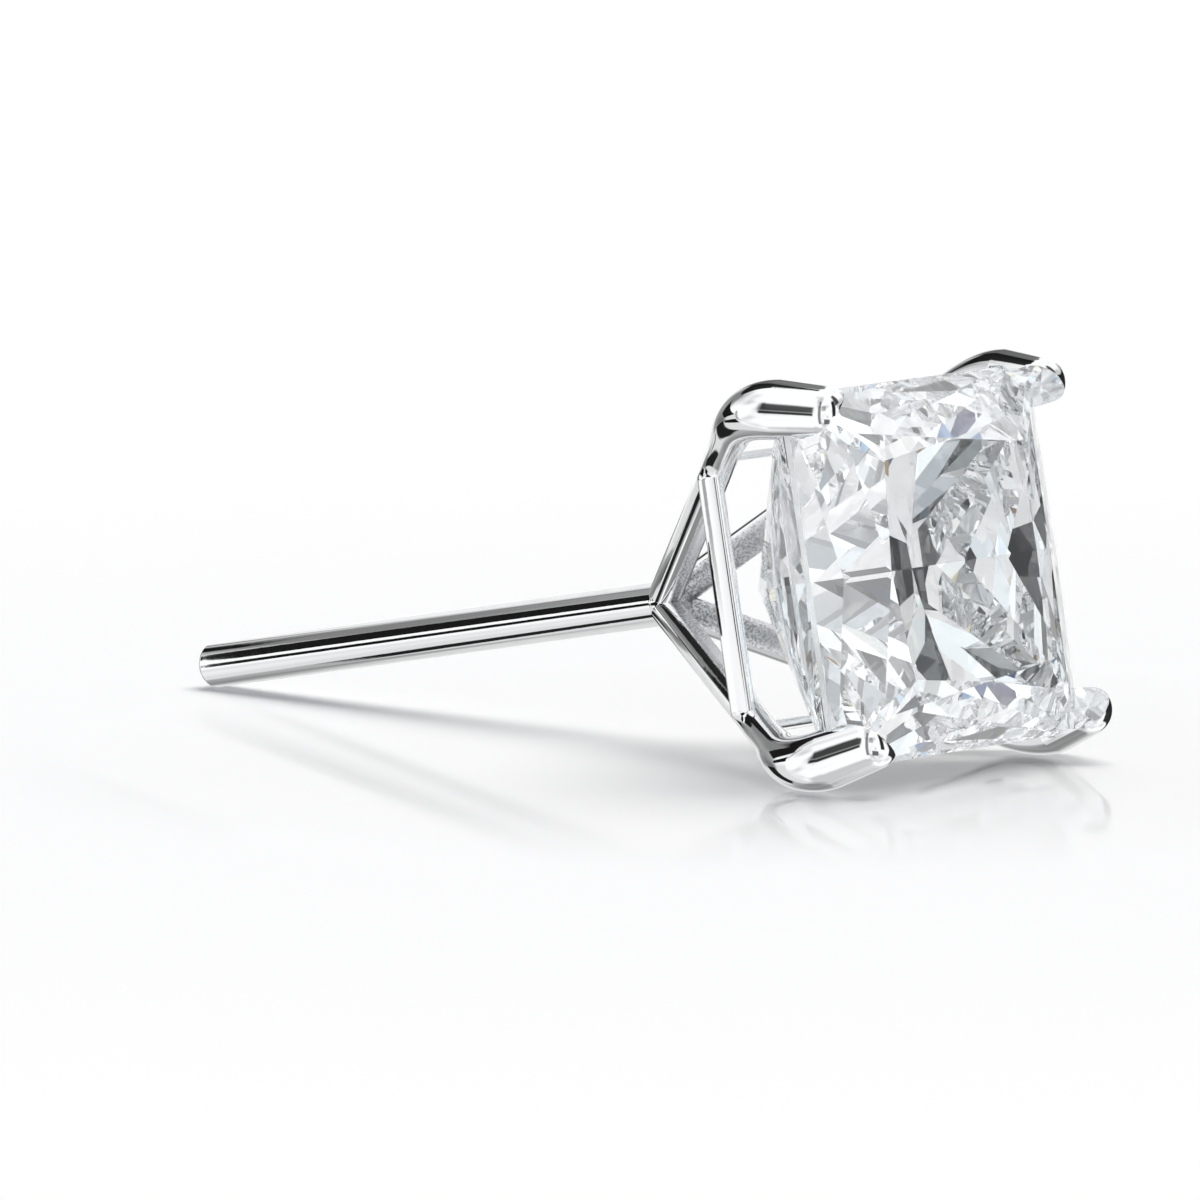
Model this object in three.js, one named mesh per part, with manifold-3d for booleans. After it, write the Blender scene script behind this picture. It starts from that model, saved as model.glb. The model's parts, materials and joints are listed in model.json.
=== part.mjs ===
// Stud earring: a square-cut clear stone held at its corners by four round claws.
// The claws spread from one point as an open pyramid, a square rail ties them halfway up,
// and a plain round ear post goes straight back from the point.
//
// Millimetres, +Z up. The stud lies as it would on a table: on its two lower claws and the
// rim of the post's end, with the stone facing -Y and turned a little upwards.
// The origin is the centre of its box, at the height of the table.
//
// Each piece is first made in the head's own frame: the post's axis is Z, the point where
// the claws meet is at z = 0, the stone is above it and the post below.
import * as THREE from 'three';
import { mergeVertices } from 'three/addons/utils/BufferGeometryUtils.js';
import Module from 'manifold-3d';

const wasm = await Module();
wasm.setup();

// Stone
const STONE_WIDTH = 6.5;
const TABLE_WIDTH = 4.24;
const CROWN_HEIGHT = 0.88;
const GIRDLE_THICKNESS = 0.12;
const PAVILION_DEPTH = 3.85;
// Height of the girdle's lower edge above the point where the claws meet
const GIRDLE_HEIGHT = 6.22;

// Claws: a wire that thickens towards the elbow, where it turns up beside the stone
const WIRE_DIAMETER = 0.58;
const CLAW_DIAMETER = 1.06;
const TIP_DIAMETER = 0.94;
const ELBOW_RADIUS = 1.5;
const THICKENING_LENGTH = 0.9;
const TIP_LEAN = THREE.MathUtils.degToRad(15);
const TIP_DOME_HEIGHT = 0.4;
// The claw's centre line passes this far inside the stone's corner, and is furthest out
// this far below the girdle
const CLAW_SET_IN = 0.27;
const ELBOW_DROP = 0.56;
// The claw reaches this far over the stone from its corner, has an inner face that slopes
// by the bevel's width, and stands this far above the table
const CLAW_REACH = 0.48;
const CLAW_BEVEL = 0.2;
const CLAW_PROUD = 0.05;
const SEAT_GAP = 0.03;

// Rail: its outer face stands this far outside the line of the claws' centres
const RAIL_HEIGHT = 3.62;
const RAIL_TALL = 0.5;
const RAIL_THICK = 0.2;
const RAIL_STANDOUT = 0.3;

// Base and ear post
const BASE_DIAMETER = 0.86;
const BASE_RISE = 0.2;
const POST_DIAMETER = 0.8;
const POST_LENGTH = 11;
const POST_CHAMFER = 0.12;

// Numbers of sides and sections
const WIRE_SIDES = 20;
const POST_SIDES = 24;
const ELBOW_SECTIONS = 12;
const THICKENING_SECTIONS = 4;
const DOME_SECTIONS = 6;

// Pavilion edges on the middle line of a side, from the girdle to the kites at the point,
// as shares of half the stone's width and of the pavilion's depth
const PAVILION_STEPS = [
  { out: 0.83, down: 0.273 },
  { out: 0.6, down: 0.532 },
  { out: 0.34, down: 0.768 },
  { out: 0.165, down: 0.905 },
];
// Crown edges: the break on the middle line as shares of the crown's run and height, the
// table's corner as a share of its half width, and the star facets on the corner's edge
const CROWN_BREAK = { out: 0.37, up: 0.455 };
const TABLE_CORNER = 0.83;
const STAR_LENGTH = 0.35;
const STAR_TURN = 0.057;

const metal = new THREE.MeshStandardMaterial({ color: 0xd9dcdf, metalness: 1, roughness: 0.12 });
const clear = new THREE.MeshStandardMaterial({ color: 0xf2f6f7, metalness: 0, roughness: 0.03 });

// Closed geometry from flat facets, each a list of corners that runs anticlockwise when
// it is seen from outside
function facetGeometry(facets) {
  const positions = [];
  for (const facet of facets) {
    for (let i = 1; i < facet.length - 1; i++) {
      positions.push(...facet[0], ...facet[i], ...facet[i + 1]);
    }
  }
  const geometry = new THREE.BufferGeometry();
  geometry.setAttribute('position', new THREE.Float32BufferAttribute(positions, 3));
  return geometry;
}

function toSolid(geometry) {
  const bare = geometry.clone();
  bare.deleteAttribute('normal');
  bare.deleteAttribute('uv');
  const merged = mergeVertices(bare, 1e-5);
  const mesh = new wasm.Mesh({
    numProp: 3,
    vertProperties: new Float32Array(merged.attributes.position.array),
    triVerts: new Uint32Array(merged.index.array),
  });
  return new wasm.Manifold(mesh);
}

function toMesh(name, solid, material) {
  const { vertProperties, triVerts } = solid.getMesh();
  const geometry = new THREE.BufferGeometry();
  geometry.setAttribute('position', new THREE.BufferAttribute(vertProperties, 3));
  geometry.setIndex(new THREE.BufferAttribute(triVerts, 1));
  geometry.computeVertexNormals();
  const mesh = new THREE.Mesh(geometry, material);
  mesh.name = name;
  return mesh;
}

// Square brilliant with its girdle's lower edge at z = 0. Every pavilion facet runs out to
// a corner of the stone, so that pairs of them make chevrons on each side.
function squareStone(width, girdle) {
  const half = width / 2;
  const top = girdle + CROWN_HEIGHT;
  const tableHalf = TABLE_WIDTH / 2;
  const run = half - tableHalf;

  const steps = PAVILION_STEPS.map(({ out, down }) => [half * out, 0, -PAVILION_DEPTH * down]);
  const lastStep = steps[steps.length - 1];
  const pointDepth = (lastStep[2] * width) / (width - lastStep[0]);
  const point = [0, 0, pointDepth];

  const crownBreak = [half - run * CROWN_BREAK.out, 0, girdle + CROWN_HEIGHT * CROWN_BREAK.up];
  const tableMiddle = [tableHalf, 0, top];
  // The table's edge turns back from the middle of a side, along the facet that carries it
  const corner = new THREE.Vector3(half, half, girdle);
  const middle = new THREE.Vector3(...tableMiddle);
  const side = new THREE.Triangle(middle, new THREE.Vector3(...crownBreak), corner);
  const normal = side.getNormal(new THREE.Vector3());
  const cornerAlong = tableHalf * TABLE_CORNER;
  const facetEnd = new THREE.Vector3(tableHalf - (normal.y / normal.x) * cornerAlong, cornerAlong, top);
  const star = facetEnd.clone().lerp(corner, STAR_LENGTH);
  const starTurn = tableHalf * STAR_TURN;
  const tableCorner = [facetEnd.x - starTurn, facetEnd.y + starTurn, top];

  const quarterTurn = ([x, y, z], turns) => {
    const cosine = [1, 0, -1, 0][turns % 4];
    const sine = [0, 1, 0, -1][turns % 4];
    return [x * cosine - y * sine, x * sine + y * cosine, z];
  };
  const facets = [];
  const table = [];
  for (let turns = 0; turns < 4; turns++) {
    const at = (x, y, z) => quarterTurn([x, y, z], turns);
    const mirrored = ([x, y, z]) => at(x, -y, z);
    const low = at(half, half, 0);
    const lowMirrored = at(half, -half, 0);
    const high = at(half, half, girdle);
    const highMirrored = at(half, -half, girdle);
    facets.push([lowMirrored, low, high, highMirrored]);

    const chevrons = steps.map((step) => at(...step));
    facets.push([low, lowMirrored, chevrons[0]]);
    for (let i = 0; i < chevrons.length - 1; i++) {
      facets.push([low, chevrons[i], chevrons[i + 1]]);
      facets.push([lowMirrored, chevrons[i + 1], chevrons[i]]);
    }
    const innermost = chevrons[chevrons.length - 1];
    facets.push([low, innermost, point, quarterTurn(innermost, 1)]);

    const breakPoint = at(...crownBreak);
    const tableSide = at(...tableMiddle);
    const starEnd = at(...star);
    const starMirrored = mirrored([...star]);
    const cornerEnd = at(...tableCorner);
    const cornerMirrored = mirrored(tableCorner);
    facets.push([highMirrored, high, breakPoint]);
    facets.push([high, starEnd, tableSide, breakPoint]);
    facets.push([highMirrored, breakPoint, tableSide, starMirrored]);
    facets.push([tableSide, starEnd, cornerEnd]);
    facets.push([tableSide, cornerMirrored, starMirrored]);
    const nextStar = quarterTurn(starMirrored, 1);
    const nextCorner = quarterTurn(cornerMirrored, 1);
    facets.push([high, nextStar, nextCorner, cornerEnd, starEnd]);
    table.push(cornerMirrored, tableSide, cornerEnd);
  }
  facets.push(table);
  return facetGeometry(facets);
}

// Centre line of a claw in its own plane, "out" from the axis and "up" along it: a straight
// arm from the point, an elbow that the arm runs into, and a tip that leans in.
function clawStations() {
  const wire = WIRE_DIAMETER / 2;
  const claw = CLAW_DIAMETER / 2;
  const tip = TIP_DIAMETER / 2;
  const cornerOut = (STONE_WIDTH / 2) * Math.SQRT2;
  const elbowOut = cornerOut - CLAW_SET_IN - ELBOW_RADIUS;
  const elbowUp = GIRDLE_HEIGHT - ELBOW_DROP;
  const elbowDistance = Math.hypot(elbowOut, elbowUp);
  const armLean = Math.atan2(elbowOut, elbowUp) + Math.asin(ELBOW_RADIUS / elbowDistance);
  const armLength = Math.sqrt(elbowDistance ** 2 - ELBOW_RADIUS ** 2);

  // The wire thickens from a little before the elbow to the elbow's end
  const thickenFrom = armLength - THICKENING_LENGTH;
  const thickenTo = armLength + ELBOW_RADIUS * (armLean + TIP_LEAN);
  const radiusAt = (distance) => {
    return THREE.MathUtils.lerp(wire, claw, THREE.MathUtils.smoothstep(distance, thickenFrom, thickenTo));
  };
  const stations = [{ out: 0, up: 0, lean: armLean, radius: wire }];
  for (let i = 0; i <= THICKENING_SECTIONS; i++) {
    const distance = THREE.MathUtils.lerp(thickenFrom, armLength, i / THICKENING_SECTIONS);
    stations.push({
      out: distance * Math.sin(armLean),
      up: distance * Math.cos(armLean),
      lean: armLean,
      radius: radiusAt(distance),
    });
  }
  for (let i = 1; i <= ELBOW_SECTIONS; i++) {
    const lean = THREE.MathUtils.lerp(armLean, -TIP_LEAN, i / ELBOW_SECTIONS);
    stations.push({
      out: elbowOut + ELBOW_RADIUS * Math.cos(lean),
      up: elbowUp - ELBOW_RADIUS * Math.sin(lean),
      lean,
      radius: radiusAt(armLength + ELBOW_RADIUS * (armLean - lean)),
    });
  }
  const elbowEnd = stations[stations.length - 1];
  const topUp = GIRDLE_HEIGHT + GIRDLE_THICKNESS + CROWN_HEIGHT + CLAW_PROUD;
  const tipLength = (topUp - elbowEnd.up) / Math.cos(TIP_LEAN) - TIP_DOME_HEIGHT;
  for (let i = 1; i <= DOME_SECTIONS; i++) {
    const turn = ((i - 1) / DOME_SECTIONS) * (Math.PI / 2);
    const distance = tipLength + TIP_DOME_HEIGHT * Math.sin(turn);
    stations.push({
      out: elbowEnd.out - distance * Math.sin(TIP_LEAN),
      up: elbowEnd.up + distance * Math.cos(TIP_LEAN),
      lean: -TIP_LEAN,
      radius: tip * Math.cos(turn) ** 0.8,
    });
  }
  const end = tipLength + TIP_DOME_HEIGHT;
  const peak = { out: elbowEnd.out - end * Math.sin(TIP_LEAN), up: elbowEnd.up + end * Math.cos(TIP_LEAN) };
  return { stations, peak, armSlope: Math.tan(armLean) / Math.SQRT2, cornerOut, topUp };
}

// Round section carried along the stations, flat at its start and peaked at its end. The
// sides are set off by half a step, so that a corner of them is level with each side of the
// stone once the claw is turned to its place.
function clawGeometry({ stations, peak }) {
  const rings = stations.map(({ out, up, lean, radius }) => {
    const ring = [];
    for (let i = 0; i < WIRE_SIDES; i++) {
      const turn = ((i + 0.5) / WIRE_SIDES) * 2 * Math.PI;
      const across = radius * Math.cos(turn);
      ring.push([out + across * Math.cos(lean), radius * Math.sin(turn), up - across * Math.sin(lean)]);
    }
    return ring;
  });
  const facets = [rings[0].slice().reverse()];
  for (let i = 0; i < rings.length - 1; i++) {
    for (let j = 0; j < WIRE_SIDES; j++) {
      const next = (j + 1) % WIRE_SIDES;
      facets.push([rings[i][j], rings[i][next], rings[i + 1][next], rings[i + 1][j]]);
    }
  }
  const last = rings[rings.length - 1];
  for (let j = 0; j < WIRE_SIDES; j++) {
    facets.push([last[j], last[(j + 1) % WIRE_SIDES], [peak.out, 0, peak.up]]);
  }
  return facetGeometry(facets);
}

// Block that trims the inner side of a claw above the girdle, along a sloping face
function clawTrimmer({ cornerOut, topUp }) {
  const lowUp = GIRDLE_HEIGHT + GIRDLE_THICKNESS;
  const rise = topUp - lowUp;
  const size = 2 * STONE_WIDTH;
  const slope = Math.atan2(CLAW_BEVEL, rise);
  const block = new THREE.BoxGeometry(size, size, rise + CLAW_DIAMETER);
  block.translate(-size / 2, 0, (rise + CLAW_DIAMETER) / 2);
  block.rotateY(slope);
  block.translate(cornerOut - CLAW_REACH - CLAW_BEVEL, 0, lowUp);
  return block;
}

// Square ring. Its corners are cut a little narrower than the wire, to end inside the claws.
function railGeometry(armSlope) {
  const half = armSlope * RAIL_HEIGHT + RAIL_STANDOUT;
  const cornerCut = (0.9 * WIRE_DIAMETER) / Math.SQRT2;
  const square = (size, cut) => {
    const corners = [];
    for (let i = 0; i < 4; i++) {
      const turn = (i * Math.PI) / 2;
      corners.push(new THREE.Vector2(size, cut - size).rotateAround(new THREE.Vector2(), turn));
      corners.push(new THREE.Vector2(size, size - cut).rotateAround(new THREE.Vector2(), turn));
    }
    return corners;
  };
  const outline = new THREE.Shape(square(half, cornerCut));
  outline.holes.push(new THREE.Path(square(half - RAIL_THICK, cornerCut / 2)));
  const rail = new THREE.ExtrudeGeometry(outline, { depth: RAIL_TALL, bevelEnabled: false });
  rail.translate(0, 0, RAIL_HEIGHT - RAIL_TALL / 2);
  return rail;
}

function postGeometry() {
  const radius = POST_DIAMETER / 2;
  const profile = [
    new THREE.Vector2(0, -POST_LENGTH),
    new THREE.Vector2(radius - POST_CHAMFER, -POST_LENGTH),
    new THREE.Vector2(radius, -POST_LENGTH + POST_CHAMFER),
    new THREE.Vector2(radius, BASE_RISE),
    new THREE.Vector2(0, BASE_RISE),
  ];
  const post = new THREE.LatheGeometry(profile, POST_SIDES);
  post.rotateX(Math.PI / 2);
  return post;
}

// Round bead of solder where the claws and the post meet
function baseGeometry() {
  const bead = new THREE.SphereGeometry(BASE_DIAMETER / 2, POST_SIDES, POST_SIDES / 2);
  bead.rotateX(Math.PI / 2);
  bead.translate(0, 0, BASE_RISE);
  return bead;
}

function makeSetting() {
  const claw = clawStations();
  const wire = toSolid(clawGeometry(claw)).subtract(toSolid(clawTrimmer(claw)));
  let setting = toSolid(postGeometry()).add(toSolid(baseGeometry()));
  setting = setting.add(toSolid(railGeometry(claw.armSlope)));
  for (let i = 0; i < 4; i++) {
    setting = setting.add(wire.rotate([0, 0, 45 + 90 * i]));
  }
  const seat = squareStone(STONE_WIDTH + 2 * SEAT_GAP, GIRDLE_THICKNESS + 2 * SEAT_GAP);
  seat.translate(0, 0, GIRDLE_HEIGHT - SEAT_GAP);
  return toMesh('setting', setting.subtract(toSolid(seat)), metal);
}

function makeStone() {
  const stone = squareStone(STONE_WIDTH, GIRDLE_THICKNESS);
  stone.translate(0, 0, GIRDLE_HEIGHT);
  return toMesh('stone', toSolid(stone), clear);
}

// Angle that the axis makes with the table when the lower claws and the edge of the post's
// chamfer touch it together
function restingTilt(setting) {
  const postRim = { across: -POST_DIAMETER / 2, up: -POST_LENGTH + POST_CHAMFER };
  const position = setting.geometry.attributes.position;
  let tilt = 0;
  for (let i = 0; i < position.count; i++) {
    const rise = position.getZ(i) - postRim.up;
    if (position.getZ(i) > 0) {
      tilt = Math.max(tilt, Math.atan2(postRim.across - position.getY(i), rise));
    }
  }
  return tilt;
}

const setting = makeSetting();
const stone = makeStone();

const lying = new THREE.Group();
lying.add(setting, stone);
lying.rotation.x = Math.PI / 2 - restingTilt(setting);

const stud = new THREE.Group();
stud.add(lying);
stud.updateMatrixWorld(true);
const box = new THREE.Box3().setFromObject(stud, true);
const centre = box.getCenter(new THREE.Vector3());
lying.position.set(-centre.x, -centre.y, -box.min.z);

export default stud;
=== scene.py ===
"""Stud earring: a square-cut stone in an open basket of four claws, on a straight ear post."""
import json
import math
from collections import namedtuple

import bmesh
import bpy
from mathutils import Matrix, Vector


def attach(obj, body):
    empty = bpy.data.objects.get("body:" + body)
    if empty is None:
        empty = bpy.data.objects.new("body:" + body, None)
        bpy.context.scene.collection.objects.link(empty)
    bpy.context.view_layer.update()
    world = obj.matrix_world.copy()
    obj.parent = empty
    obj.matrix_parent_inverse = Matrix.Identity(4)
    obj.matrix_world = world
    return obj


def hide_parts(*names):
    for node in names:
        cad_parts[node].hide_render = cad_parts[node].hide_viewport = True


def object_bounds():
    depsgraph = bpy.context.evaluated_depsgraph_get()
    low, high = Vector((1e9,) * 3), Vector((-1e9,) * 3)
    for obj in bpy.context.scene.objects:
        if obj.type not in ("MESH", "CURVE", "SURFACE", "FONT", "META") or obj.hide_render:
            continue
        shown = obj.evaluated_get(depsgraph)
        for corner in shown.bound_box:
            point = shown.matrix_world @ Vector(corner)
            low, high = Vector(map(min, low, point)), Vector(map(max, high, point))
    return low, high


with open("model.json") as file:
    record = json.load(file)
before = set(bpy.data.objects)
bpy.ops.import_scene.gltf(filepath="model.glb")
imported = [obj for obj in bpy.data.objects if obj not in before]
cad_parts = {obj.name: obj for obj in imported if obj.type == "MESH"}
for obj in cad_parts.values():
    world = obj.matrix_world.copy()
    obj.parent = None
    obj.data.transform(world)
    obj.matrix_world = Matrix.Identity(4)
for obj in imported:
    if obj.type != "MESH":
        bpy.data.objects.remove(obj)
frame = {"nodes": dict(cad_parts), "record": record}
CAD_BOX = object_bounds()

MM = 0.001

# The photograph's frame, in pixels, and where the point of the basket lies in it
FRAME_PX = 1200
POINT_PX = (662, 603)
PX_PER_MM = 57.0
CAMERA_AZIMUTH = math.radians(-48.63)
CAMERA_ELEVATION = math.radians(7.47)
CAMERA_DISTANCE = 300 * MM
CAMERA_RANGE = (10 * MM, 20)

WHITE = (1, 1, 1, 1)
BLACK = (0, 0, 0, 1)

# The white tent that the metal mirrors, with grey clouds and dark flags. A flag has its ranges
# of azimuth and elevation and its soft edge, in degrees, and the share of the light that it
# takes away. Metal that is seen through the stone gets most of that light back.
TENT_LIGHT = 1.08
CLOUD_SCALE = 1.7
CLOUD_EDGE = (0.44, 0.66)
CLOUD_DARK = 0.42
FLAG_LIFT_IN_STONE = 0.75
Flag = namedtuple("Flag", "azimuth elevation soft dark")
METAL_FLAGS = [
    # Dark bands along the post, the arms and the elbows
    Flag((152, 183), (29, 60), 3, 0.98),
    Flag((132, 150), (22, 52), 6, 0.8),
    Flag((173, 188), (-44, -16), 3, 0.98),
    Flag((164, 188), (-12, 26), 8, 0.62),
    # Grooves in the near claws
    Flag((244, 258), (5, 20), 9, 0.92),
    Flag((242, 260), (-7, -2), 4, 0.95),
    # Dark lines on the tips and the arms
    Flag((286, 295), (-40, 50), 5, 0.75),
    Flag((2, 18), (-10, 40), 4, 0.97),
    Flag((46, 112), (-27, 10), 4, 0.97),
    # Grey undersides of the wires
    Flag((128, 186), (-70, -48), 8, 0.4),
    Flag((100, 205), (-75, -12), 12, 0.28),
    # Bands that show mostly from behind
    Flag((24, 44), (24, 58), 5, 0.9),
    Flag((318, 346), (-40, -24), 5, 0.85),
    Flag((304, 320), (16, 30), 7, 0.5),
]

# Two black cards beside the post, each turned up round it by an angle and of its own width.
# Starts and lengths run back along the post from the point of the basket.
CARD_DISTANCE = 8 * MM
BLACK_CARD_LIGHT = 0.01
BLACK_CARD_START = 3 * MM
BLACK_CARD_LENGTH = 17 * MM
BLACK_CARDS = [(math.radians(1), 2.2 * MM), (math.radians(45), 6.6 * MM)]

# The grey card that the rail mirrors: it darkens between two heights above the floor
GREY_CARD_WIDTH = 9 * MM
GREY_CARD_START = 1.72 * MM
GREY_CARD_LENGTH = 1 * MM
CARD_FADE = (0.8 * MM, 4 * MM)
GREY_CARD_TOP_LIGHT = 0.4

# The light that falls on the floor: dim from the sides, and strong from overhead, from a disc
# with a soft edge. The stone's shadow is the share of its own light that the floor doesn't get.
SIDE_LIGHT = (0.17, 0.185, 0.21, 1)
OVERHEAD_LIGHT = (4.5, 4.4, 4.26, 1)
OVERHEAD_AZIMUTH = math.radians(90)
OVERHEAD_ELEVATION = math.radians(71)
OVERHEAD_EDGE = (math.cos(math.radians(35)), math.cos(math.radians(12)))
STONE_SHADOW = 0.75

# What the stone gathers: dark panels, the first at the camera, and grey waves over height.
# Red, green and blue see them a little apart, which gives the stone its fire.
STONE_LIGHT = 1.43
STONE_TINT = (0.935, 0.985, 1)
FIRE_SHIFTS = (-0.4, 0, 0.6)
PANEL_LIGHT = 0.08
PANEL_AZIMUTH = math.degrees(CAMERA_AZIMUTH)
PANEL_STEP = 90
PANEL_EDGE = (16, 20)
PANEL_ELEVATION = (-40, 60)
PANEL_SOFT = 6
WAVE_DEPTH = 1.06
WAVE_PER_DEGREE = 0.09
WAVE_START = 2.6

# The metal's finish: a mirror with polishing marks. It turns matt at a depth inside the cone of
# the arms, where its colour is also painted darker as painted shade, with grain and dark specks,
# which fade out up the basket. Scales are per metre.
METAL_COLOUR = (0.92, 0.93, 0.94, 1)
MIRROR_ROUGHNESS = 0.02
MARK_SCALE = 2600
MARK_ROUGHNESS = 0.06
MARK_DEPTH = 1.5e-6
# Painted shade: the darker grey painted on the inside of the basket
INSIDE_SHADE_COLOUR = (0.8, 0.81, 0.83, 1)
MATT_ROUGHNESS = 0.2
MATT_AND_SHADE_DEPTH = (0.03 * MM, 0.15 * MM)
MATT_AND_SHADE_FADE = (2 * MM, 3.4 * MM)
GRAIN_SCALE = 16000
GRAIN_ROUGHNESS = 0.3
GRAIN_DEPTH = 9e-6
SPECK_COLOUR = (0.4, 0.41, 0.43, 1)
SPECK_SCALE = 24000
SPECK_EDGE = (0.42, 0.62)
SPECK_FADE = (1.3 * MM, 2.4 * MM)

# The stone's finish: clear and polished, with a faint haze and a frosted girdle. Light is
# followed for many bounces, for with too few the facets under the table turn dark.
STONE_IOR = 2.417
HAZE_SCALE = 900
HAZE_COLOUR = (0.95, 0.98, 1, 1)
GIRDLE_ROUGHNESS = 0.3
GIRDLE_SOFT = 0.01 * MM
STONE_BOUNCES = 64

# The floor: away from the stone its sheen fades out, and further off its colour turns white
FLOOR_SIZE = 4
FLOOR_COLOUR = (0.955, 0.965, 0.98, 1)
FLOOR_CENTRE = (0, -5 * MM, 0)
FLOOR_FADE = (12 * MM, 60 * MM)
SHEEN = 0.3
SHEEN_FADE = (4 * MM, 15 * MM)
SHEEN_ROUGHNESS = 0.06

# The metal is modelled on a bench, in millimetres: the claws meet at its origin, and +Z
# runs along the post towards the stone. It is then taken to its place in metres.
STONE_WIDTH = 6.5
GIRDLE_HEIGHT = 6.22
GIRDLE_THICKNESS = 0.12
CROWN_HEIGHT = 0.88

# Claws: a wire that thickens towards the elbow, where it turns up beside the stone
WIRE_RADIUS = 0.29
CLAW_RADIUS = 0.53
TIP_RADIUS = 0.47
ELBOW_RADIUS = 1.5
THICKENING_LENGTH = 0.9
TIP_LEAN = math.radians(15)
TIP_DOME_HEIGHT = 0.4
TIP_DOME_POWER = 0.8
# The claw's centre line passes this far inside the stone's corner, and is furthest out this
# far below the girdle
CLAW_SET_IN = 0.27
ELBOW_DROP = 0.56
# The claw reaches this far over the stone from its corner, has an inner face that slopes by
# the bevel's width, and stands this far above the table
CLAW_REACH = 0.48
CLAW_BEVEL = 0.2
CLAW_PROUD = 0.05
SEAT_GAP = 0.03

# Rail: its outer face stands this far outside the line of the claws' centres, and its corners
# are cut by this share of the wire's width
RAIL_HEIGHT = 3.62
RAIL_TALL = 0.5
RAIL_THICK = 0.2
RAIL_STANDOUT = 0.3
RAIL_CORNER_SHARE = 0.9

# Solder bead and ear post
BASE_RADIUS = 0.43
BASE_RISE = 0.2
POST_RADIUS = 0.4
POST_LENGTH = 11
POST_CHAMFER = 0.12

# What the bench adds to the flat-sided solids: round wires and rounded edges
SHARP_ANGLE = math.radians(28)
WIRE_SIDES = 48
ELBOW_STEPS = 36
THICKENING_STEPS = 8
DOME_STEPS = 10
EDGE_ROUND = 0.03
EDGE_STEPS = 4
RAIL_ROUND = 0.08
RAIL_STEPS = 5
TIP_ROUND = 0.05
# The finished metal is scaled by this, so that it ends inside the box of those solids
SMOOTH_FIT = 0.9996
# Corners of the seat closer than this are merged
WELD_WIDTH = 1e-4
# A wire's turn or growth smaller than this is skipped
TINY = 1e-9

# The bench's place in the part, from the mount at the end of the post
POST_MOUNT = next(m for m in frame["record"]["mounts"] if m["name"] == "post_end")
HEAD_Z = -Vector(POST_MOUNT["axis"]).normalized()
HEAD_X = Vector((1, 0, 0))
HEAD_Y = HEAD_Z.cross(HEAD_X)
HEAD_ORIGIN = Vector(POST_MOUNT["pos_m"]) + HEAD_Z * POST_LENGTH * MM
HEAD_TURN = Matrix((HEAD_X, HEAD_Y, HEAD_Z)).transposed().to_4x4()
BENCH_TO_PLACE = Matrix.Translation(HEAD_ORIGIN) @ HEAD_TURN @ Matrix.Scale(MM, 4)


def direction(azimuth, elevation):
    """Unit vector. An azimuth of 0 lies along -Y and turns towards +X."""
    across = math.cos(elevation)
    return Vector((math.sin(azimuth) * across, -math.cos(azimuth) * across, math.sin(elevation)))


def add_camera():
    """Camera at the photograph's angle, with the point of the basket where it is there."""
    towards = direction(CAMERA_AZIMUTH, CAMERA_ELEVATION)
    right = Vector((math.cos(CAMERA_AZIMUTH), math.sin(CAMERA_AZIMUTH), 0))
    up = towards.cross(right)
    px = MM / PX_PER_MM
    aside = right * (FRAME_PX / 2 - POINT_PX[0]) * px
    above = up * (POINT_PX[1] - FRAME_PX / 2) * px
    centre = HEAD_ORIGIN + aside + above
    bpy.ops.object.camera_add(location=centre + towards * CAMERA_DISTANCE)
    camera = bpy.context.object
    camera.rotation_mode = "QUATERNION"
    camera.rotation_quaternion = towards.to_track_quat("Z", "Y")
    data = camera.data
    view_width = FRAME_PX * px
    data.lens = data.sensor_width * CAMERA_DISTANCE / view_width
    data.clip_start, data.clip_end = CAMERA_RANGE
    bpy.context.scene.camera = camera


class Value:
    """A shader socket that carries a number. An expression on values adds its Math nodes."""

    def __init__(self, shader, socket):
        self.shader = shader
        self.socket = socket

    def maths(self, operation, *others):
        return self.shader.maths(operation, self, *others)

    def __add__(self, other):
        return self.maths("ADD", other)

    __radd__ = __add__

    def __sub__(self, other):
        return self.maths("SUBTRACT", other)

    def __rsub__(self, other):
        return self.shader.maths("SUBTRACT", other, self)

    def __mul__(self, other):
        return self.maths("MULTIPLY", other)

    __rmul__ = __mul__

    def __abs__(self):
        return self.maths("ABSOLUTE")

    def __mod__(self, other):
        return self.maths("FLOORED_MODULO", other)

    def band(self, low, high, soft):
        """1 between low and high, falling to 0 over a soft edge outside them."""
        return self.step(low - soft, low) * (1 - self.step(high, high + soft))

    def step(self, start, end):
        """0 up to start, 1 from end on, with a smooth rise between them."""
        settings = {"interpolation_type": "SMOOTHSTEP"}
        inputs = {"Value": self, "From Min": start, "From Max": end}
        return self.shader.value("ShaderNodeMapRange", settings, inputs)


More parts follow.
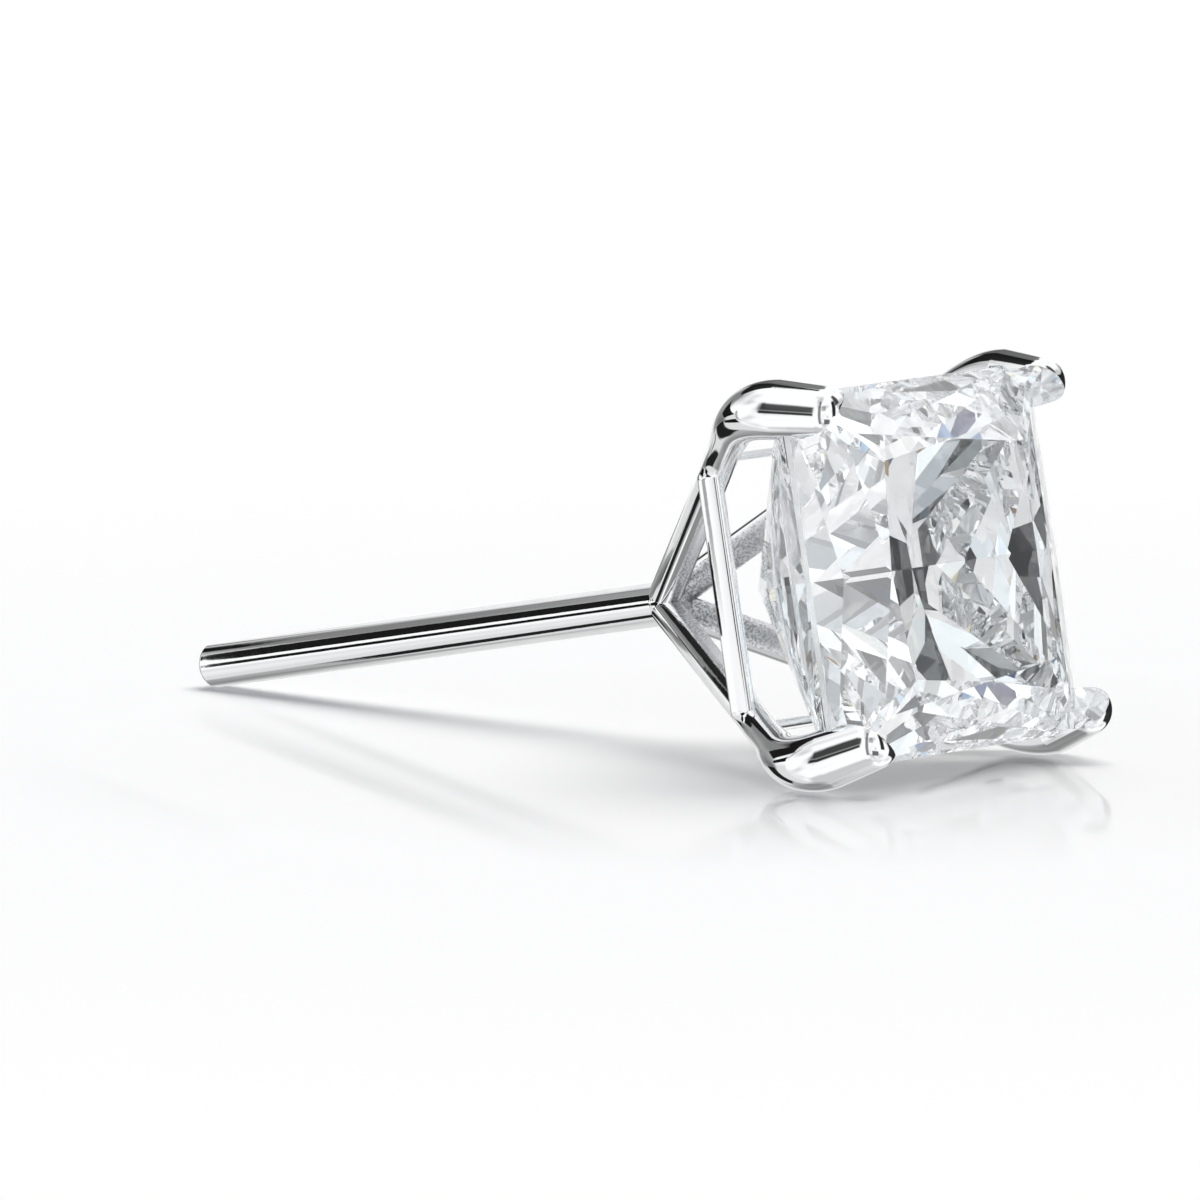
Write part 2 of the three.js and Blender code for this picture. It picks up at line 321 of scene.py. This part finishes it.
class Shader:
    """The node tree of a new material or world, emptied."""

    def __init__(self, owner):
        owner.use_nodes = True
        self.owner = owner
        self.tree = owner.node_tree
        self.tree.nodes.clear()

    def node(self, kind, settings=None, inputs=None):
        """Adds a node with its settings set first, and then its sockets linked or filled."""
        node = self.tree.nodes.new(kind)
        for name, setting in (settings or {}).items():
            setattr(node, name, setting)
        for name, given in (inputs or {}).items():
            socket = node.inputs[name]
            given = given.socket if isinstance(given, Value) else given
            if isinstance(given, bpy.types.NodeSocket):
                self.tree.links.new(given, socket)
            else:
                socket.default_value = given
        return node

    def socket(self, kind, inputs):
        """The first output of a new node that needs no settings."""
        return self.node(kind, inputs=inputs).outputs[0]

    def complete(self, surface, kind="ShaderNodeOutputMaterial"):
        """Links the surface to an output node, and returns the material or world."""
        self.node(kind, inputs={"Surface": surface})
        return self.owner

    def value(self, kind, settings=None, inputs=None, output=0):
        return Value(self, self.node(kind, settings, inputs).outputs[output])

    def maths(self, operation, *operands):
        settings = {"operation": operation}
        return self.value("ShaderNodeMath", settings, dict(enumerate(operands)))

    def mix(self, factor, first, second):
        """A colour between first and second."""
        settings = {"data_type": "RGBA", "clamp_factor": False}
        inputs = {0: factor, 6: first, 7: second}
        return self.node("ShaderNodeMix", settings, inputs).outputs[2]

    def grey(self, value):
        return self.mix(value, BLACK, WHITE)

    def place(self):
        """Where a point of the piece lies, in metres."""
        return self.node("ShaderNodeTexCoord").outputs["Object"]

    def from_point(self, place, point):
        """The vector to a place from a point."""
        settings = {"operation": "SUBTRACT"}
        return self.node("ShaderNodeVectorMath", settings, {0: place, 1: point}).outputs[0]

    def dot(self, vector, along):
        return self.measure("DOT_PRODUCT", {0: vector, 1: along})

    def length(self, vector):
        return self.measure("LENGTH", {0: vector})

    def measure(self, operation, inputs):
        """The number that a Vector Math node gives."""
        return self.value("ShaderNodeVectorMath", {"operation": operation}, inputs, output=1)

    def noise(self, place, scale, detail):
        inputs = {"Vector": place, "Scale": scale, "Detail": detail}
        return self.value("ShaderNodeTexNoise", inputs=inputs)

    def xyz(self, vector):
        parts = self.node("ShaderNodeSeparateXYZ", inputs={0: vector})
        return [Value(self, output) for output in parts.outputs]


def dress(piece, material):
    piece.data.materials.clear()
    piece.data.materials.append(material)


def metal_light(shader, towards, azimuth, elevation, in_stone):
    """Light that the metal mirrors: the tent, with its flags and clouds."""
    past_flags = 1
    for flag in METAL_FLAGS:
        across = azimuth.band(*flag.azimuth, flag.soft)
        up = elevation.band(*flag.elevation, flag.soft)
        past_flags = (1 - across * up * flag.dark) * past_flags
    clouds = shader.noise(towards, CLOUD_SCALE, detail=1).step(*CLOUD_EDGE) * CLOUD_DARK
    lifted = past_flags + (1 - past_flags) * in_stone * FLAG_LIFT_IN_STONE
    return shader.grey(lifted * (1 - clouds) * TENT_LIGHT)


def stone_light(azimuth, elevation):
    """Light that the stone gathers: white, with dark panels round it and waves over height."""
    half_step = PANEL_STEP / 2
    from_panel = abs((azimuth - PANEL_AZIMUTH + half_step) % PANEL_STEP - half_step)
    panel = (1 - from_panel.step(*PANEL_EDGE)) * elevation.band(*PANEL_ELEVATION, PANEL_SOFT)
    wave = (elevation * WAVE_PER_DEGREE + WAVE_START).maths("SINE") * 0.5 + 0.5
    return (STONE_LIGHT - wave * WAVE_DEPTH) * (1 - panel) + panel * PANEL_LIGHT


def stone_fire(shader, azimuth, elevation, through):
    """The colour that the stone gathers, with its red, green and blue a little apart."""
    colours = []
    for shift, tint in zip(FIRE_SHIFTS, STONE_TINT):
        colours.append(stone_light(azimuth + shift, elevation + shift) * tint * through)
    return shader.socket("ShaderNodeCombineColor", dict(enumerate(colours)))


def set_world():
    """The studio: white to the camera, and its own light for floor, metal and stone."""
    shader = Shader(bpy.data.worlds.new("tent"))
    towards = shader.node("ShaderNodeTexCoord").outputs["Generated"]
    x, y, z = shader.xyz(towards)
    degrees = 180 / math.pi
    elevation = shader.maths("ARCSINE", z) * degrees
    azimuth = (shader.maths("ARCTAN2", x, 0 - y) * degrees) % 360
    path = shader.node("ShaderNodeLightPath").outputs

    overhead = shader.dot(towards, direction(OVERHEAD_AZIMUTH, OVERHEAD_ELEVATION))
    floor = shader.mix(overhead.step(*OVERHEAD_EDGE), SIDE_LIGHT, OVERHEAD_LIGHT)
    in_stone = Value(shader, path["Transmission Depth"]).maths("MINIMUM", 1)
    metal = metal_light(shader, towards, azimuth, elevation, in_stone)
    on_floor = Value(shader, path["Diffuse Depth"]).maths("MINIMUM", 1)
    stone = stone_fire(shader, azimuth, elevation, 1 - on_floor * STONE_SHADOW)

    seen = shader.socket("ShaderNodeBackground", {"Color": WHITE})
    for ray, colour in (("Diffuse", floor), ("Glossy", metal), ("Transmission", stone)):
        light = shader.socket("ShaderNodeBackground", {"Color": colour})
        inputs = {0: path[f"Is {ray} Ray"], 1: seen, 2: light}
        seen = shader.socket("ShaderNodeMixShader", inputs)
    bpy.context.scene.world = shader.complete(seen, "ShaderNodeOutputWorld")


def pale_board():
    """Matt board with a sheen near the stone."""
    shader = Shader(bpy.data.materials.new("floor"))
    distance = shader.length(shader.from_point(shader.place(), FLOOR_CENTRE))
    colour = shader.mix(distance.step(*FLOOR_FADE), FLOOR_COLOUR, WHITE)
    board = shader.socket("ShaderNodeBsdfDiffuse", {"Color": colour})
    sheen = shader.socket("ShaderNodeBsdfGlossy", {"Roughness": SHEEN_ROUGHNESS})
    share = (1 - distance.step(*SHEEN_FADE)) * SHEEN
    return shader.complete(shader.socket("ShaderNodeMixShader", {0: share, 1: board, 2: sheen}))


def add_floor():
    """The board that the stud lies on, which its metal doesn't mirror."""
    bpy.ops.mesh.primitive_plane_add(size=FLOOR_SIZE)
    floor = bpy.context.object
    floor.name = "floor"
    floor.visible_glossy = False
    dress(floor, pale_board())


def card_shade(name, foot_light, top_light):
    """The glow of a card, from one grey at its foot to another at its top."""
    shader = Shader(bpy.data.materials.new(name))
    height = shader.xyz(shader.place())[2]
    light = height.step(*CARD_FADE) * (top_light - foot_light) + foot_light
    return shader.complete(shader.socket("ShaderNodeEmission", {"Color": shader.grey(light)}))


def add_card(name, turn, width, start, length, material):
    """A card along the post, turned up round it, which nothing but the metal mirrors."""
    back = -HEAD_Z
    out = -HEAD_X * math.cos(turn) + HEAD_Y * math.sin(turn)
    across = HEAD_X * math.sin(turn) + HEAD_Y * math.cos(turn)
    middle = HEAD_ORIGIN + out * CARD_DISTANCE + back * (start + length / 2)
    bpy.ops.mesh.primitive_plane_add(size=1)
    card = bpy.context.object
    card.name = name
    card.data.transform(Matrix.Diagonal((length, width, 1, 1)))
    card.data.transform(Matrix((back, across, out)).transposed().to_4x4())
    card.data.transform(Matrix.Translation(middle))
    dress(card, material)
    card.visible_camera = False
    card.visible_diffuse = False
    card.visible_transmission = False
    card.visible_shadow = False


def add_cards():
    """Two black cards beside the post with a slit between them, and a grey one by the rail."""
    black = card_shade("black_card", BLACK_CARD_LIGHT, BLACK_CARD_LIGHT)
    for turn, width in BLACK_CARDS:
        add_card("black_card", turn, width, BLACK_CARD_START, BLACK_CARD_LENGTH, black)
    grey = card_shade("grey_card", TENT_LIGHT, GREY_CARD_TOP_LIGHT)
    add_card("grey_card", 0, GREY_CARD_WIDTH, GREY_CARD_START, GREY_CARD_LENGTH, grey)


def polished_metal(arm_lean):
    """Mirror finish with faint marks of the buffing wheel, and an unpolished, rough inside that is
    also painted darker as painted shade.
    """
    shader = Shader(bpy.data.materials.new("polished_white_metal"))
    place = shader.place()
    marks = shader.noise(place, MARK_SCALE, detail=3)
    grain = shader.noise(place, GRAIN_SCALE, detail=2)
    specks = shader.noise(place, SPECK_SCALE, detail=2).step(*SPECK_EDGE)

    from_tip = shader.from_point(place, HEAD_ORIGIN)
    along = shader.dot(from_tip, HEAD_Z)
    reach = shader.length(from_tip)
    out = (reach * reach - along * along).maths("SQRT")
    inside = (along * math.tan(arm_lean) - out).step(*MATT_AND_SHADE_DEPTH)
    matt_and_shade = inside * (1 - along.step(*MATT_AND_SHADE_FADE))
    specks = matt_and_shade * specks * (1 - along.step(*SPECK_FADE))

    # Painted shade: deep inside the basket the colour is painted darker, fading out up the basket
    colour = shader.mix(matt_and_shade, METAL_COLOUR, INSIDE_SHADE_COLOUR)
    colour = shader.mix(specks, colour, SPECK_COLOUR)
    roughness = MIRROR_ROUGHNESS + marks * MARK_ROUGHNESS
    roughness = roughness + matt_and_shade * (grain * GRAIN_ROUGHNESS + MATT_ROUGHNESS)
    relief = marks * MARK_DEPTH + grain * matt_and_shade * GRAIN_DEPTH
    return shader.complete(shader.socket("ShaderNodeBsdfPrincipled", {
        "Base Color": colour,
        "Metallic": 1.0,
        "Roughness": roughness,
        "Normal": shader.socket("ShaderNodeBump", {"Distance": 1.0, "Height": relief}),
    }))


def cut_stone():
    """Clear and polished, with a faint cool haze in it and a frosted girdle."""
    shader = Shader(bpy.data.materials.new("cut_stone"))
    place = shader.place()
    haze = shader.noise(place, HAZE_SCALE, detail=2)
    height = shader.dot(place, HEAD_Z) - HEAD_ORIGIN.dot(HEAD_Z)
    low = GIRDLE_HEIGHT * MM
    girdle = height.band(low, low + GIRDLE_THICKNESS * MM, GIRDLE_SOFT)
    return shader.complete(shader.socket("ShaderNodeBsdfPrincipled", {
        "Base Color": shader.mix(haze, WHITE, HAZE_COLOUR),
        "Roughness": girdle * GIRDLE_ROUGHNESS,
        "IOR": STONE_IOR,
        "Transmission Weight": 1.0,
    }))


def pick(piece):
    """Selects one piece, and nothing else, in object mode."""
    bpy.ops.object.mode_set(mode="OBJECT")
    bpy.ops.object.select_all(action="DESELECT")
    bpy.context.view_layer.objects.active = piece
    piece.select_set(True)


def edit(piece):
    pick(piece)
    bpy.ops.object.mode_set(mode="EDIT")


def close_edit():
    bpy.ops.object.mode_set(mode="OBJECT")


def face_outwards():
    bpy.ops.mesh.select_all(action="SELECT")
    bpy.ops.mesh.normals_make_consistent(inside=False)


def select_edges(piece, wanted):
    """Selects the edges for which wanted(edge) holds, and nothing else."""
    bpy.ops.mesh.select_mode(type="EDGE")
    bpy.ops.mesh.select_all(action="DESELECT")
    shape = bmesh.from_edit_mesh(piece.data)
    for edge in shape.edges:
        if wanted(edge):
            edge.select = True
    shape.select_flush_mode()
    bmesh.update_edit_mesh(piece.data)


def is_sharp(edge):
    return len(edge.link_faces) == 2 and edge.calc_face_angle(0) > SHARP_ANGLE


def round_edges(piece, wanted, width, segments):
    """Bevels the edges for which wanted(edge) holds."""
    edit(piece)
    select_edges(piece, wanted)
    bpy.ops.mesh.bevel(offset=width, segments=segments, clamp_overlap=True)
    close_edit()


def combine(piece, other, operation):
    """Joins another closed piece to a piece or cuts it away, and uses it up."""
    pick(piece)
    modifier = piece.modifiers.new("combine", "BOOLEAN")
    modifier.operation = operation
    modifier.object = other
    modifier.solver = "MANIFOLD"
    bpy.ops.object.modifier_apply(modifier=modifier.name)
    bpy.data.objects.remove(other)


def scale_about(centre, share):
    return Matrix.Translation(centre) @ Matrix.Scale(share, 4) @ Matrix.Translation(-centre)


def claw_stations():
    """Centre line of a claw: out from the axis, up along it, lean from the axis, radius."""
    corner_out = STONE_WIDTH / 2 * math.sqrt(2)
    elbow_out = corner_out - CLAW_SET_IN - ELBOW_RADIUS
    elbow_up = GIRDLE_HEIGHT - ELBOW_DROP
    elbow_distance = math.hypot(elbow_out, elbow_up)
    arm_lean = math.atan2(elbow_out, elbow_up) + math.asin(ELBOW_RADIUS / elbow_distance)
    arm_length = math.sqrt(elbow_distance**2 - ELBOW_RADIUS**2)
    thicken_from = arm_length - THICKENING_LENGTH
    thicken_to = arm_length + ELBOW_RADIUS * (arm_lean + TIP_LEAN)

    def radius_at(distance):
        share = min(max((distance - thicken_from) / (thicken_to - thicken_from), 0), 1)
        return WIRE_RADIUS + (CLAW_RADIUS - WIRE_RADIUS) * share * share * (3 - 2 * share)

    stations = [(0, 0, arm_lean, WIRE_RADIUS)]
    for i in range(THICKENING_STEPS + 1):
        along = thicken_from + THICKENING_LENGTH * i / THICKENING_STEPS
        out, up = along * math.sin(arm_lean), along * math.cos(arm_lean)
        stations.append((out, up, arm_lean, radius_at(along)))
    for i in range(1, ELBOW_STEPS + 1):
        lean = arm_lean - (arm_lean + TIP_LEAN) * i / ELBOW_STEPS
        out = elbow_out + ELBOW_RADIUS * math.cos(lean)
        up = elbow_up - ELBOW_RADIUS * math.sin(lean)
        stations.append((out, up, lean, radius_at(arm_length + ELBOW_RADIUS * (arm_lean - lean))))
    end_out, end_up = stations[-1][:2]
    top_up = GIRDLE_HEIGHT + GIRDLE_THICKNESS + CROWN_HEIGHT + CLAW_PROUD
    tip_length = (top_up - end_up) / math.cos(TIP_LEAN) - TIP_DOME_HEIGHT
    for i in range(DOME_STEPS):
        turn = i / DOME_STEPS * math.pi / 2
        along = tip_length + TIP_DOME_HEIGHT * math.sin(turn)
        out = end_out - along * math.sin(TIP_LEAN)
        up = end_up + along * math.cos(TIP_LEAN)
        stations.append((out, up, -TIP_LEAN, TIP_RADIUS * math.cos(turn) ** TIP_DOME_POWER))
    return stations, arm_lean


def model_claw(stations):
    """A round wire, extruded from its foot through the stations and closed with a dome."""
    out, up, lean, radius = stations[0]
    place = {"location": (out, 0, up), "rotation": (0, lean, 0)}
    bpy.ops.mesh.primitive_circle_add(vertices=WIRE_SIDES, radius=radius, fill_type="NGON", **place)
    claw = bpy.context.object
    bpy.ops.object.transform_apply()
    edit(claw)
    bpy.ops.mesh.select_all(action="SELECT")
    for station in stations[1:]:
        move = (station[0] - out, 0, station[1] - up)
        turn = station[2] - lean
        grow = station[3] / radius
        out, up, lean, radius = station
        bpy.ops.mesh.extrude_region_move(TRANSFORM_OT_translate={"value": move})
        centre = (out, 0, up)
        if abs(turn) > TINY:
            bpy.ops.transform.rotate(value=-turn, orient_axis="Y", center_override=centre)
        if abs(grow - 1) > TINY:
            bpy.ops.transform.resize(value=(grow, grow, grow), center_override=centre)
    bpy.ops.mesh.merge(type="CENTER")
    face_outwards()
    close_edit()
    return claw


def spread(piece):
    """A piece and three copies, each a quarter turn further round the axis."""
    copies = [piece]
    for quarter in range(1, 4):
        copy = piece.copy()
        copy.data = piece.data.copy()
        copy.data.transform(Matrix.Rotation(quarter * math.pi / 2, 4, "Z"))
        bpy.context.collection.objects.link(copy)
        copies.append(copy)
    return copies


def model_rail(arm_lean):
    """A square of flat strip with rounded edges, whose cut corners end inside the claws."""
    half = math.tan(arm_lean) / math.sqrt(2) * RAIL_HEIGHT + RAIL_STANDOUT
    corner_cut = RAIL_CORNER_SHARE * 2 * WIRE_RADIUS / math.sqrt(2)
    bpy.ops.mesh.primitive_plane_add(size=2 * half, location=(0, 0, RAIL_HEIGHT - RAIL_TALL / 2))
    rail = bpy.context.object
    bpy.ops.object.transform_apply()
    edit(rail)
    bpy.ops.mesh.select_all(action="SELECT")
    bpy.ops.mesh.bevel(offset=corner_cut, affect="VERTICES")
    bpy.ops.mesh.select_all(action="SELECT")
    bpy.ops.mesh.inset(thickness=RAIL_THICK)
    bpy.ops.mesh.delete(type="FACE")
    bpy.ops.mesh.select_all(action="SELECT")
    bpy.ops.mesh.extrude_region_move(TRANSFORM_OT_translate={"value": (0, 0, RAIL_TALL)})
    face_outwards()
    close_edit()
    round_edges(rail, is_sharp, RAIL_ROUND, RAIL_STEPS)
    return rail


def model_post():
    """A round pin with a chamfered end, from inside the solder back to the ear."""
    depth = POST_LENGTH + BASE_RISE
    bpy.ops.mesh.primitive_cylinder_add(
        vertices=WIRE_SIDES, radius=POST_RADIUS, depth=depth, location=(0, 0, BASE_RISE - depth / 2)
    )
    post = bpy.context.object
    bpy.ops.object.transform_apply()

    def at_end(edge):
        return is_sharp(edge) and max(vertex.co.z for vertex in edge.verts) < -POST_LENGTH / 2

    round_edges(post, at_end, POST_CHAMFER, 1)
    round_edges(post, at_end, EDGE_ROUND, EDGE_STEPS)
    return post


def model_solder():
    bpy.ops.mesh.primitive_uv_sphere_add(
        segments=WIRE_SIDES, ring_count=WIRE_SIDES // 2, radius=BASE_RADIUS, location=(0, 0, BASE_RISE)
    )
    solder = bpy.context.object
    bpy.ops.object.transform_apply()
    return solder


def model_trimmer():
    """The block that gives a claw's tip its sloping inner face, above the girdle."""
    corner_out = STONE_WIDTH / 2 * math.sqrt(2)
    low_up = GIRDLE_HEIGHT + GIRDLE_THICKNESS
    rise = CROWN_HEIGHT + CLAW_PROUD
    height = rise + 2 * CLAW_RADIUS
    width = 2 * STONE_WIDTH
    bpy.ops.mesh.primitive_cube_add(size=1)
    block = bpy.context.object
    slope = Matrix.Rotation(math.atan2(CLAW_BEVEL, rise), 4, "Y")
    place = Matrix.Translation((corner_out - CLAW_REACH - CLAW_BEVEL, 0, low_up))
    block.data.transform(Matrix.Diagonal((width, width, height, 1)))
    block.data.transform(place @ slope @ Matrix.Translation((-width / 2, 0, height / 2)))
    return block


def model_seat():
    """The stone's own shape, merged and a little larger, which cuts its seats in the claws."""
    stone = frame["nodes"]["stone"]
    seat = stone.copy()
    seat.data = stone.data.copy()
    seat.parent = None
    seat.hide_render = False
    bpy.context.collection.objects.link(seat)
    seat.data.transform(BENCH_TO_PLACE.inverted())
    centre = Vector((0, 0, GIRDLE_HEIGHT + GIRDLE_THICKNESS / 2))
    seat.data.transform(scale_about(centre, 1 + 2 * SEAT_GAP / STONE_WIDTH))
    edit(seat)
    bpy.ops.mesh.select_all(action="SELECT")
    bpy.ops.mesh.remove_doubles(threshold=WELD_WIDTH)
    face_outwards()
    close_edit()
    return seat


def settle(piece, name, material):
    """Takes a piece from the bench to its place, in metres, and gives it finish and body."""
    piece.data.transform(BENCH_TO_PLACE)
    middle = (Vector(CAD_BOX[0]) + Vector(CAD_BOX[1])) / 2
    piece.data.transform(scale_about(middle, SMOOTH_FIT))
    piece.name = name
    pick(piece)
    bpy.ops.object.shade_smooth_by_angle(angle=SHARP_ANGLE)
    dress(piece, material)
    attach(piece, "root")


def make_setting():
    """Post, solder, four claws and rail in one, with seats for the stone."""
    stations, arm_lean = claw_stations()
    setting = model_post()
    combine(setting, model_solder(), "UNION")
    claw = model_claw(stations)
    combine(claw, model_trimmer(), "DIFFERENCE")
    round_edges(claw, is_sharp, TIP_ROUND, EDGE_STEPS)
    claw.data.transform(Matrix.Rotation(math.pi / 4, 4, "Z"))
    for piece in spread(claw):
        combine(setting, piece, "UNION")
    combine(setting, model_rail(arm_lean), "UNION")
    combine(setting, model_seat(), "DIFFERENCE")
    settle(setting, "setting_polished", polished_metal(arm_lean))
    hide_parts("setting")


bpy.ops.object.select_all(action="DESELECT")
add_camera()
set_world()
add_floor()
add_cards()
make_setting()
dress(frame["nodes"]["stone"], cut_stone())

scene = bpy.context.scene
scene.view_settings.view_transform = "Standard"
scene.cycles.max_bounces = STONE_BOUNCES
scene.cycles.transmission_bounces = STONE_BOUNCES
scene.cycles.glossy_bounces = STONE_BOUNCES
